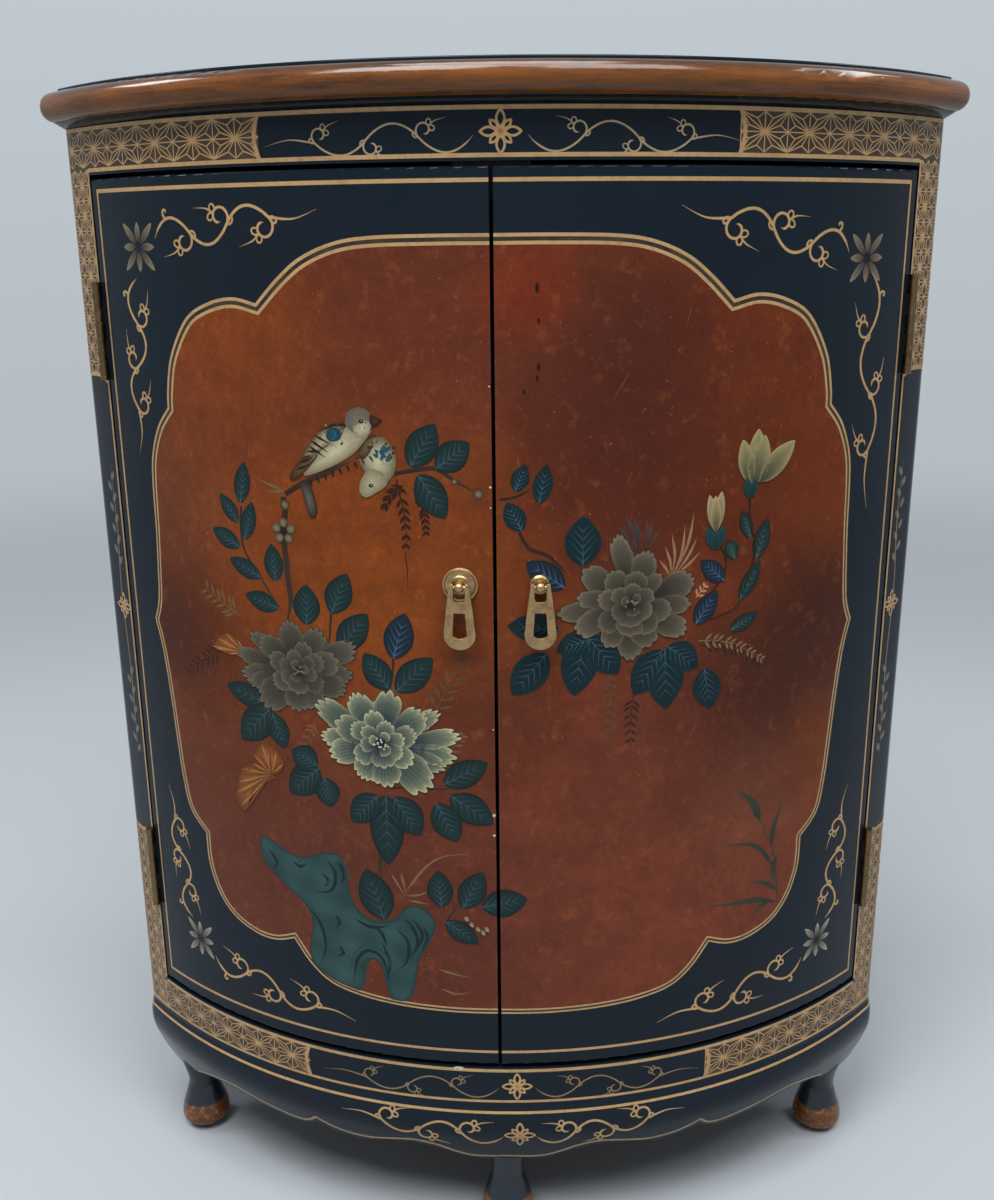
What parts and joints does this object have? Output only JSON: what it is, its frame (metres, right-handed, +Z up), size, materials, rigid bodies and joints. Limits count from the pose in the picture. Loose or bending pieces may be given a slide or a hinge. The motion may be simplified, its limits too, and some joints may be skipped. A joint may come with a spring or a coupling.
{
  "type": "corner cabinet",
  "caption": "Lacquered bow-front corner cabinet with hinged curved doors, pendant pulls, a scalloped apron, turned feet and a bullnose top.",
  "frame": {"origin": "on the floor, at the middle of the box that holds the cabinet", "axes": "+X to the right of someone facing the doors, +Y from the doors to the back corner, +Z up"},
  "size_m": [0.7096, 0.5229, 0.938],
  "materials": {
    "black_lacquer": "blue-black gloss lacquer with gold ornament",
    "brown_moulding": "speckled brown gloss lacquer",
    "bare_wood": "plain oiled wood",
    "antique_brass": "aged brass",
    "steel": "plain steel",
    "catch_plastic": "dark brown plastic"
  },
  "bodies": {
    "carcass": {"apron": "black_lacquer", "back_post": "black_lacquer", "bottom_board": "bare_wood", "bottom_rail": "black_lacquer", "cove_moulding": "black_lacquer", "door_catch": "catch_plastic", "frame_leaf_lower_left": "antique_brass", "frame_leaf_lower_right": "antique_brass", "frame_leaf_upper_left": "antique_brass", "frame_leaf_upper_right": "antique_brass", "frame_leaf_screws": "steel", "frieze_rail": "black_lacquer", "hinge_pin_lower_left": "antique_brass", "hinge_pin_lower_right": "antique_brass", "hinge_pin_upper_left": "antique_brass", "hinge_pin_upper_right": "antique_brass", "leg_back": "black_lacquer", "leg_blocks": "bare_wood", "leg_front": "black_lacquer", "leg_left": "black_lacquer", "leg_right": "black_lacquer", "shelf": "bare_wood", "shelf_pins": "steel", "side_panel_left": "black_lacquer", "side_panel_right": "black_lacquer", "side_skirt_left": "black_lacquer", "side_skirt_right": "black_lacquer", "stile_left": "black_lacquer", "stile_right": "black_lacquer", "sub_top": "bare_wood", "top_moulding": "brown_moulding", "top_panel": "black_lacquer"},
    "door_left": {"door_left": "black_lacquer", "door_leaf_lower_left": "antique_brass", "door_leaf_upper_left": "antique_brass", "door_leaf_screws_left": "steel", "rosette_left": "antique_brass", "pull_post_left": "antique_brass", "pull_nut_left": "steel", "strike_plate_left": "steel"},
    "door_right": {"door_right": "black_lacquer", "door_leaf_lower_right": "antique_brass", "door_leaf_upper_right": "antique_brass", "door_leaf_screws_right": "steel", "pull_washer_right": "antique_brass", "pull_post_right": "antique_brass", "pull_nut_right": "steel", "strike_plate_right": "steel"},
    "pendant_left": {"pendant_left": "antique_brass"},
    "pendant_right": {"pendant_right": "antique_brass"}
  },
  "joints": [
    {"name": "door_left_hinge", "type": "hinge", "parent": "carcass", "child": "door_left", "pos_m": [-0.31758, -0.1184, 0.522], "axis": [0, 0, -1], "range_deg": [0, 115]},
    {"name": "door_right_hinge", "type": "hinge", "parent": "carcass", "child": "door_right", "pos_m": [0.31758, -0.1184, 0.522], "axis": [0, 0, 1], "range_deg": [0, 115]},
    {"name": "pendant_left_swing", "type": "hinge", "parent": "door_left", "child": "pendant_left", "pos_m": [-0.03071, -0.25045, 0.583], "axis": [-0.9978, 0.0666, 0], "range_deg": [-6, 85]},
    {"name": "pendant_right_swing", "type": "hinge", "parent": "door_right", "child": "pendant_right", "pos_m": [0.02807, -0.25062, 0.583], "axis": [-0.9981, -0.0609, 0], "range_deg": [-6, 85]}
  ]
}
